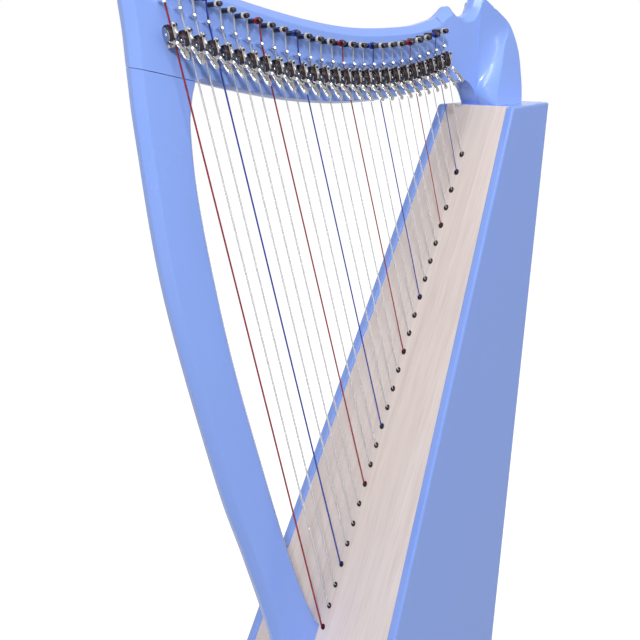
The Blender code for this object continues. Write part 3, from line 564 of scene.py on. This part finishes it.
veneer_links.new(veneer_hairs.outputs["Fac"], veneer_relief.inputs["Height"])
veneer_links.new(veneer_relief.outputs["Normal"], veneer_shader.inputs["Normal"])
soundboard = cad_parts["soundboard"]
soundboard.data.materials.clear()
soundboard.data.materials.append(maple_veneer)


# Strings: nylon, thicker in the bass, each knotted behind the board, led out through a dark
# eyelet, over its bridge pin and round its tuning pin. C strings are red and F strings blue.
STRINGS = 26
OCTAVE = 7                                    # strings from one C or F to the next
FIRST_C = 0
FIRST_F = 3
STRING_RADII = (1.05, 0.45)                   # of the lowest and the highest string
STRING_LEAN = math.radians(14.02)
STRING_FAN = math.radians(1.0)
FAN_PACE = 20.0
# Terms of by_number(): the eyelet up the board, the string's mouth in front of it, the bridge pin
# up the string, and the tuning pin above the bridge pin
STATION = (0.0, 27.8, -0.2133, 0.00281)
MOUTH_OUT = (2.3, -0.09)
BRIDGE_UP = (760.0, -33.6, 0.34)
TUNING_UP = (24.3, 0.0, -0.011)
TUNING_SIDE = -3.8
PIN_RADIUS = 2.7                              # of the tuning pins that the strings end on
COIL_MOST = 0.5                               # of the winding's thickness on them
COIL_SHARE = 0.9                              # of the string's radius, where that is less
COIL_START_Y = -7.6
STRING_BEHIND = 3.0                           # behind the board's face, inside the eyelet
STRING_OUT = 1.0                              # in front of it, before the string turns up
TURN_UP = (0.8, 4.0)                          # up the string, where the turn has ended
BEND = 1.5                                    # before and behind the bridge pin
BEND_SIDE = 0.05
BEND_Y = -0.3
EYELET_RING = ((0.1, 2.7), (0.1, 3.6), (0.7, 3.65), (1.3, 3.3), (1.6, 2.6), (1.3, 1.9), (-0.6, 1.75),
               (-2.5, 1.75))
RIB_HALF = 12.0
RIB_SECTION = ((-20.0, 4.3), (-20.0, 9.0), (625.9, 9.0), (625.9, 4.3))  # up the board, behind its face
number = np.arange(STRINGS)


def by_number(terms):
    """For every string, the terms times the powers of its number, counted from the bass, added."""
    return sum(term * number ** power for power, term in enumerate(terms))


lean = STRING_LEAN + STRING_FAN * number ** 2 / (number ** 2 + FAN_PACE)
across = np.stack([np.cos(lean), 0 * lean, np.sin(lean)], 1)
string_up = np.stack([-np.sin(lean), 0 * lean, np.cos(lean)], 1)
eyelet = BOARD_UP * by_number(STATION)[:, None]
mouth = eyelet + BOARD_OUT * by_number(MOUTH_OUT)[:, None]
bridge_length = by_number(BRIDGE_UP)
tuning_length = bridge_length + by_number(TUNING_UP)
string_radius = STRING_RADII[0] + (STRING_RADII[1] - STRING_RADII[0]) * number / (STRINGS - 1)
coil_radius = PIN_RADIUS + np.minimum(COIL_MOST, string_radius * COIL_SHARE)


def beside_string(k, length, side=0.0, y=0.0):
    """The point `length` up string k from its mouth, `side` across to the right and y in depth."""
    return mouth[k] + string_up[k] * length + across[k] * side + np.array([0.0, y, 0.0])


def tube_along(path, radius, sides=10):
    """Rings round a path: each is a circle in the plane square to the path's direction there."""
    path = np.asarray(path, float)
    radius = np.broadcast_to(radius, len(path))
    along = np.gradient(path, axis=0)
    along /= np.linalg.norm(along, axis=1, keepdims=True)
    aside = np.array([0.02, 1.0, 0.01])           # a direction that no string and no winding has
    first = np.cross(along, aside)
    first /= np.linalg.norm(first, axis=1, keepdims=True)
    second = np.cross(along, first)
    turn = np.arange(sides) * math.tau / sides
    ring = first[:, None] * np.cos(turn)[None, :, None] + second[:, None] * np.sin(turn)[None, :, None]
    points = path[:, None] + ring * radius[:, None, None]
    return points.reshape(-1, 3), grid_faces(len(path), sides)


def lathe(base, axis, profile, sides=24):
    """A turned piece: the profile's (distance, radius) rings, swept round the axis from its base."""
    axis = np.asarray(axis, float) / np.linalg.norm(axis)
    helper = np.array([0.0, 0.0, 1.0]) if abs(axis[2]) < 0.9 else np.array([1.0, 0.0, 0.0])
    first = np.cross(axis, helper)
    first /= np.linalg.norm(first)
    second = np.cross(axis, first)
    turn = np.arange(sides) * math.tau / sides
    profile = np.asarray(profile, float)
    ring = first * np.cos(turn)[:, None] + second * np.sin(turn)[:, None]
    points = np.asarray(base) + axis * profile[:, 0, None, None] + ring[None] * profile[:, 1, None, None]
    return points.reshape(-1, 3), grid_faces(len(profile), sides)


clear_nylon = marked_finish("clear_nylon", (0.73, 0.725, 0.74), (0.84, 0.835, 0.85), 60.0, 0.16, 0.28)
clear_nylon.node_tree.nodes["Principled BSDF"].inputs["Transmission Weight"].default_value = 0.5
red_nylon = marked_finish("red_nylon", (0.22, 0.003, 0.010), (0.34, 0.006, 0.018), 60.0, 0.22, 0.34)
blue_nylon = marked_finish("blue_nylon", (0.007, 0.026, 0.26), (0.012, 0.042, 0.38), 60.0, 0.22, 0.34)
string_dyes = np.zeros(STRINGS, int)
string_dyes[FIRST_C::OCTAVE] = 1
string_dyes[FIRST_F::OCTAVE] = 2
string_shells = []
for k in range(STRINGS):
    radius = string_radius[k]
    path = np.array([
        eyelet[k] - BOARD_OUT * STRING_BEHIND,
        eyelet[k] + BOARD_OUT * STRING_OUT,
        beside_string(k, TURN_UP[0]),
        beside_string(k, TURN_UP[1]),
        beside_string(k, bridge_length[k] - BEND),
        beside_string(k, bridge_length[k] + BEND, BEND_SIDE, BEND_Y),
        beside_string(k, tuning_length[k], TUNING_SIDE + coil_radius[k], COIL_START_Y)])
    string_shells.append((*tube_along(path, radius), string_dyes[k]))
strings = make_piece("strings_nylon", string_shells, [clear_nylon, red_nylon, blue_nylon], sharp=60.0)

dark_bronze = marked_finish("dark_bronze", (0.022, 0.016, 0.018), (0.060, 0.044, 0.046), 260.0, 0.20, 0.42,
                            metal=1.0)
eyelet_shells = [(*lathe(eyelet[k], BOARD_OUT, EYELET_RING, 20), 0) for k in range(STRINGS)]
eyelets = make_piece("string_eyelets", eyelet_shells, [dark_bronze], sharp=50.0)

rib_corners = [BOARD_UP * along - BOARD_OUT * behind + np.array([0.0, y, 0.0])
               for y in (-RIB_HALF, RIB_HALF) for along, behind in RIB_SECTION]
rib = make_piece("string_rib", [(np.array(rib_corners), grid_faces(2, 4), 0)], [maple_veneer])
for part in (strings, eyelets, rib):
    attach(part, "frame")
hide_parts("strings")


# Bridge pins: small nickel pins driven into the neck, with a waist that holds the string and a
# round bright head.
BRIDGE_SIDE = -2.5
# Distance out of the neck and radius
BRIDGE_PIN = ((-3.0, 1.15), (6.6, 1.15), (7.2, 1.4), (7.8, 1.2), (9.4, 1.2), (10.2, 1.6), (11.0, 2.15),
              (12.2, 2.5), (13.4, 2.4), (14.4, 1.85), (15.1, 1.0), (15.3, 0.3))
bright_nickel = marked_finish("bright_nickel", (0.80, 0.79, 0.79), (0.92, 0.91, 0.90), 260.0, 0.08, 0.18,
                              metal=1.0)
pin_shells = []
for k in range(STRINGS):
    foot = beside_string(k, bridge_length[k], BRIDGE_SIDE, NECK_NEAR)
    pin_shells.append((*lathe(foot, (0, -1, 0), BRIDGE_PIN, 16), 0))
bridge_pins = make_piece("bridge_pins", pin_shells, [bright_nickel], sharp=50.0)
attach(bridge_pins, "frame")


# Tuning pins: blued steel pins through the neck, squared at the far end for the tuning key. The
# string is wound on the near end in a few close turns.
COIL_TURNS = 3.2
COIL_STEPS = 18                               # points for each turn
COIL_WIDE = 4.6
# Depth and radius along the pin, and for its squared end depth and half the width across the flats
PIN_BODY = ((-16.9, 0.8), (-16.8, 1.6), (-16.4, 2.2), (-15.7, 2.55), (-14.8, PIN_RADIUS),
            (41.0, PIN_RADIUS), (48.0, 2.5))
PIN_SQUARE = ((47.0, 2.05), (50.0, 2.0), (64.0, 1.9), (65.0, 1.5))
SQUARE_CORNER = 1.38                          # from that half width to the eased corner
black_steel = marked_finish("black_steel", (0.030, 0.026, 0.034), (0.085, 0.074, 0.086), 200.0, 0.12, 0.26,
                            metal=1.0)
for k in range(STRINGS):
    name = str(k + 1).zfill(2)
    centre = beside_string(k, tuning_length[k], TUNING_SIDE)
    body = lathe(centre, (0, 1, 0), PIN_BODY, 20)
    square = lathe(centre, (0, 1, 0), [(depth, half * SQUARE_CORNER) for depth, half in PIN_SQUARE], 4)
    share = np.linspace(0.0, 1.0, int(COIL_TURNS * COIL_STEPS))
    angle = lean[k] + share * COIL_TURNS * math.tau
    coil = centre + np.stack([coil_radius[k] * np.cos(angle), COIL_START_Y - COIL_WIDE * share,
                              coil_radius[k] * np.sin(angle)], 1)
    winding = tube_along(coil, coil_radius[k] - PIN_RADIUS, 6)
    pin = make_piece("pin_" + name, [(*body, 0), (*square, 0), (*winding, 1)],
                     [black_steel, (clear_nylon, red_nylon, blue_nylon)[string_dyes[k]]], sharp=45.0)
    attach(pin, "pin_" + name)
    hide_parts("tuning_pin_" + name)


# Sharping levers: a dark barrel with a nickel disc, which carries the string cam and a flat
# handle with a ribbed grip. The levers are narrower where the strings stand closer.
HUB_Y = -7.0
HANDLE_TILT = math.radians(38.7)
HANDLE_THICK = 1.6
BARREL_SIDES = 48
BARREL_LOBE = 1.0
LOBE_TURN = math.radians(108.0)
LOBE_SPREAD = 0.45
# Distance across, radius and share of the lobe, from the inner face to the recess with the screw
BARREL = ((-6.2, 7.8, 1.0), (-6.35, 8.3, 1.0), (-6.8, 8.6, 1.0), (-10.0, 8.6, 1.0), (-10.5, 8.4, 1.0),
          (-10.8, 7.9, 1.0), (-10.8, 6.4, 0.6), (-10.5, 5.9, 0.3), (-8.8, 5.5, 0.0), (-8.5, 5.0, 0.0))
HUB_DOWN = (31.4, -1.79, 0.047)               # terms of by_number(), from the bridge pin
NICKEL, BRONZE, RIBBED, BRIGHT = range(4)
hub_length = bridge_length - by_number(HUB_DOWN)
hub_place = mouth + string_up * hub_length[:, None]
string_gap = np.sum((hub_place[1:] - mouth[:-1]) * across[:-1], axis=1)
lever_width = np.concatenate([[1.0], string_gap / string_gap[0]])


def in_lever(points, k):
    """Points in a lever's own frame (across, depth, up the string), placed at the hub of lever k."""
    points = np.asarray(points, float)
    return (hub_place[k] + across[k] * (points[:, :1] * lever_width[k])
            + np.array([0.0, 1.0, 0.0]) * points[:, 1:2] + string_up[k] * points[:, 2:])


def plate(outline, thickness, origin, first, second, soft=0.3):
    """A flat plate with rounded edges: its outline in two directions, raised along their normal."""
    outline = np.asarray(outline, float)
    inward = outline_inward(outline)
    half = thickness / 2.0
    rows = ((soft, -half), (soft * 0.3, -half + soft * 0.3), (0.0, -half + soft),
            (0.0, half - soft), (soft * 0.3, half - soft * 0.3), (soft, half))
    first = np.asarray(first, float)
    second = np.asarray(second, float)
    normal = np.cross(first, second)
    rings = []
    for inset, raised in rows:
        flat = outline + inward * inset
        rings.append(np.asarray(origin) + flat[:, :1] * first + flat[:, 1:] * second + normal * raised)
    return np.vstack(rings), grid_faces(len(rows), len(outline))


def barrel_rings():
    """Rings of the barrel: circles that swell by a bell curve of the angle into a lobe at its top."""
    angle = np.arange(BARREL_SIDES) * math.tau / BARREL_SIDES
    swell = BARREL_LOBE * np.exp(-((angle - LOBE_TURN) / LOBE_SPREAD) ** 2)
    rings = []
    for x, radius, share in BARREL:
        reach = radius + share * swell
        rings.append(np.stack([np.full(BARREL_SIDES, x), HUB_Y + reach * np.cos(angle),
                               reach * np.sin(angle)], 1))
    return np.vstack(rings), grid_faces(len(BARREL), BARREL_SIDES)


hub = np.array([0.0, HUB_Y, 0.0])
outward = np.array([0.0, -math.sin(HANDLE_TILT), -math.cos(HANDLE_TILT)])
CAP = ((-11.0, 2.5), (-11.1, 2.7), (-11.1, 7.1), (-11.0, 7.3), (-10.2, 7.4), (-8.2, 2.5))
SCREW = ((-11.4, 0.8), (-11.3, 1.3), (-11.0, 1.5), (-8.3, 1.6))
AXLE = ((-8.0, 1.5), (-2.4, 1.5))
HANDLE = curve_through(((-10.3, 4.0), (-10.4, 8.6), (-6.8, 12.0), (-5.4, 13.2), (-4.7, 18.0), (-5.4, 20.8),
                        (-5.4, 29.3), (-4.4, 31.6), (-3.2, 32.3), (-2.0, 31.6), (-1.0, 29.3), (-1.0, 21.2),
                        (-2.6, 18.4), (-3.4, 13.0), (-3.8, 11.2), (-6.6, 9.0), (-6.7, 4.0)), 4)
# The handle's left edge carries a flush bright nickel strip, a painted highlight; its middle carries a
# flush dark bronze strip, a painted dark reflection.
PAINTED_EDGE_HIGHLIGHT = ((-5.5, 20.8), (-5.05, 20.8), (-5.05, 30.0), (-5.5, 29.4))
# A flush dark bronze strip down the handle's middle: a painted dark reflection, not a recess
PAINTED_DARK_REFLECTION = ((-4.8, 20.6), (-4.0, 20.6), (-4.0, 30.6), (-4.8, 30.0))
GRIP = ((-3.8, 21.0), (-1.4, 21.6), (-1.4, 29.6), (-2.3, 31.0), (-3.8, 31.0))
FLUSH = HANDLE_THICK + 0.1                    # of the painted highlight strip and the painted reflection strip, through the handle
RAISED = HANDLE_THICK + 0.4
BEAD_RADIUS = 2.1
BEAD_ACROSS = -4.7
BEAD_OUT = 11.8                               # from the hub to the bead on the handle's neck
CAM_RADIUS = 3.2
CAM_NOSE = ((1.3, 5.6), (-1.3, 5.6))          # its corners, which press on the string
CAM_ACROSS = -0.9
CAM_THICK = 5.0
bead_turn = np.linspace(0.04, 0.96, 9) * math.pi
bead = np.stack([-BEAD_RADIUS * np.cos(bead_turn), BEAD_RADIUS * np.sin(bead_turn)], 1)
bead_place = hub + [BEAD_ACROSS, 0, 0] + outward * BEAD_OUT
cam_angle = np.radians([150, 195, 240, 285, 330, 375])
cam_round = np.stack([CAM_RADIUS * np.cos(cam_angle), CAM_RADIUS * np.sin(cam_angle)], 1)
cam_outline = np.concatenate([cam_round, CAM_NOSE])
lever_shells = [
    (*barrel_rings(), BRONZE),
    (*lathe(hub, (1, 0, 0), CAP, 32), NICKEL),
    (*lathe(hub, (1, 0, 0), SCREW, 16), BRIGHT),
    (*lathe(hub, (1, 0, 0), AXLE, 16), NICKEL),
    (*plate(cam_outline, CAM_THICK, hub + [CAM_ACROSS, 0, 0], (0, 1, 0), (0, 0, 1)), NICKEL),
    (*plate(HANDLE, HANDLE_THICK, hub, (1, 0, 0), outward, 0.45), NICKEL),
    # Two flush strips on the handle: a painted highlight along its edge and a painted dark reflection down
    # its middle
    (*plate(PAINTED_EDGE_HIGHLIGHT, FLUSH, hub, (1, 0, 0), outward, 0.1), BRIGHT),
    (*plate(PAINTED_DARK_REFLECTION, FLUSH, hub, (1, 0, 0), outward, 0.1), BRONZE),
    (*plate(GRIP, RAISED, hub, (1, 0, 0), outward, 0.15), RIBBED),
    (*lathe(bead_place, (1, 0, 0), bead, 16), BRIGHT)]
nickel = marked_finish("nickel_plate", (0.30, 0.295, 0.30), (0.50, 0.49, 0.50), 260.0, 0.12, 0.30,
                       metal=1.0)
ribbed_grip = marked_finish("ribbed_grip", (0.17, 0.17, 0.175), (0.30, 0.295, 0.30), 320.0, 0.24, 0.40,
                            metal=0.8)
grip_nodes = ribbed_grip.node_tree.nodes
grip_links = ribbed_grip.node_tree.links
grip_ribs = grip_nodes.new("ShaderNodeTexWave")
grip_ribs.bands_direction = "X"
grip_ribs.inputs["Scale"].default_value = 260.0
grip_relief = grip_nodes.new("ShaderNodeBump")
grip_relief.inputs["Strength"].default_value = 0.5
grip_relief.inputs["Distance"].default_value = 0.0002
grip_links.new(grip_nodes["Texture Coordinate"].outputs["Object"], grip_ribs.inputs["Vector"])
grip_links.new(grip_ribs.outputs["Fac"], grip_relief.inputs["Height"])
grip_links.new(grip_relief.outputs["Normal"], grip_nodes["Principled BSDF"].inputs["Normal"])
for k in range(STRINGS):
    name = str(k + 1).zfill(2)
    arm = make_piece("lever_arm_" + name, [(in_lever(p, k), f, m) for p, f, m in lever_shells],
                     [nickel, dark_bronze, ribbed_grip, bright_nickel], sharp=40.0)
    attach(arm, "lever_arm_" + name)
    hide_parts("lever_" + name)


# Lever brackets: bent nickel plates screwed to the neck, each with a cheek that holds the lever's
# axle, two fret prongs that the string lies between, and a small post beside it.
FOOT_THICK = 1.6
TAB_THICK = 1.5
TAB_Y = NECK_NEAR - 0.85
SHEET_THICK = 1.2
BRACKET_FOOT = ((-5.6, -14.5), (4.4, -14.5), (4.4, 4.4), (-5.6, 4.4))
BRACKET_TAB = ((2.0, 3.0), (8.6, 3.0), (9.0, 3.6), (9.0, 8.2), (8.4, 9.0), (4.0, 9.0), (2.0, 6.5))
CHEEK = ((7.0, -4.4), (7.0, 4.8), (-8.0, 5.6), (-13.2, 8.6), (-13.2, -4.0), (-11.0, -4.4))
CHEEK_ACROSS = -5.0
FLANGE_Y = -13.1
FLANGE = curve_through(((-5.6, -3.6), (-5.0, -4.4), (-3.9, -4.0), (-3.4, 0.0), (-3.2, 3.4), (-1.8, 5.2),
                        (-0.8, 7.2), (-1.4, 9.2), (-3.0, 10.0), (-4.8, 9.4), (-5.6, 7.4)), 3)
EAR_SCREW_PLACE = (-3.0, -13.6, 7.4)
EAR_SCREW = ((-0.2, 1.5), (0.6, 1.4), (1.1, 1.0), (1.3, 0.4))
PRONG_SIDE = 2.3
PRONG_DOWN = -12.0
PRONG = ((-1.0, 0.9), (8.6, 0.9), (9.2, 1.35), (9.9, 1.5), (10.5, 1.2), (10.8, 0.5))
PRONG_BAR = ((-2.6, -13.2), (2.6, -13.2), (2.6, -10.8), (-2.6, -10.8))
BAR_Y = 3.6
POST_PLACE = (7.3, NECK_NEAR - 1.4, 6.2)
POST = ((-0.2, 1.5), (3.4, 1.5), (3.6, 1.3))
POST_CAP = ((3.4, 1.2), (3.5, 1.7), (4.4, 1.6), (4.8, 0.9))
bracket_shells = [
    (*plate(BRACKET_FOOT, FOOT_THICK, (0, NECK_NEAR - FOOT_THICK / 2, 0), (1, 0, 0), (0, 0, 1)), NICKEL),
    (*plate(BRACKET_TAB, TAB_THICK, (0, TAB_Y, 0), (1, 0, 0), (0, 0, 1)), NICKEL),
    (*plate(CHEEK, SHEET_THICK, (CHEEK_ACROSS, 0, 0), (0, 1, 0), (0, 0, 1)), NICKEL),
    (*plate(FLANGE, SHEET_THICK, (0, FLANGE_Y, 0), (1, 0, 0), (0, 0, 1)), NICKEL),
    (*lathe(EAR_SCREW_PLACE, (0, -1, 0), EAR_SCREW, 12), BRONZE),
    (*lathe((-PRONG_SIDE, NECK_NEAR, PRONG_DOWN), (0, -1, 0), PRONG, 12), NICKEL),
    (*lathe((PRONG_SIDE, NECK_NEAR, PRONG_DOWN), (0, -1, 0), PRONG, 12), NICKEL),
    (*plate(PRONG_BAR, FOOT_THICK, (0, BAR_Y, 0), (1, 0, 0), (0, 0, 1)), NICKEL),
    (*lathe(POST_PLACE, (0, -1, 0), POST, 12), NICKEL),
    (*lathe(POST_PLACE, (0, -1, 0), POST_CAP, 12), BRONZE)]
bracket_all = [(in_lever(p, k), f, m) for k in range(STRINGS) for p, f, m in bracket_shells]
brackets = make_piece("lever_brackets", bracket_all, [nickel, dark_bronze], sharp=40.0)
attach(brackets, "frame")
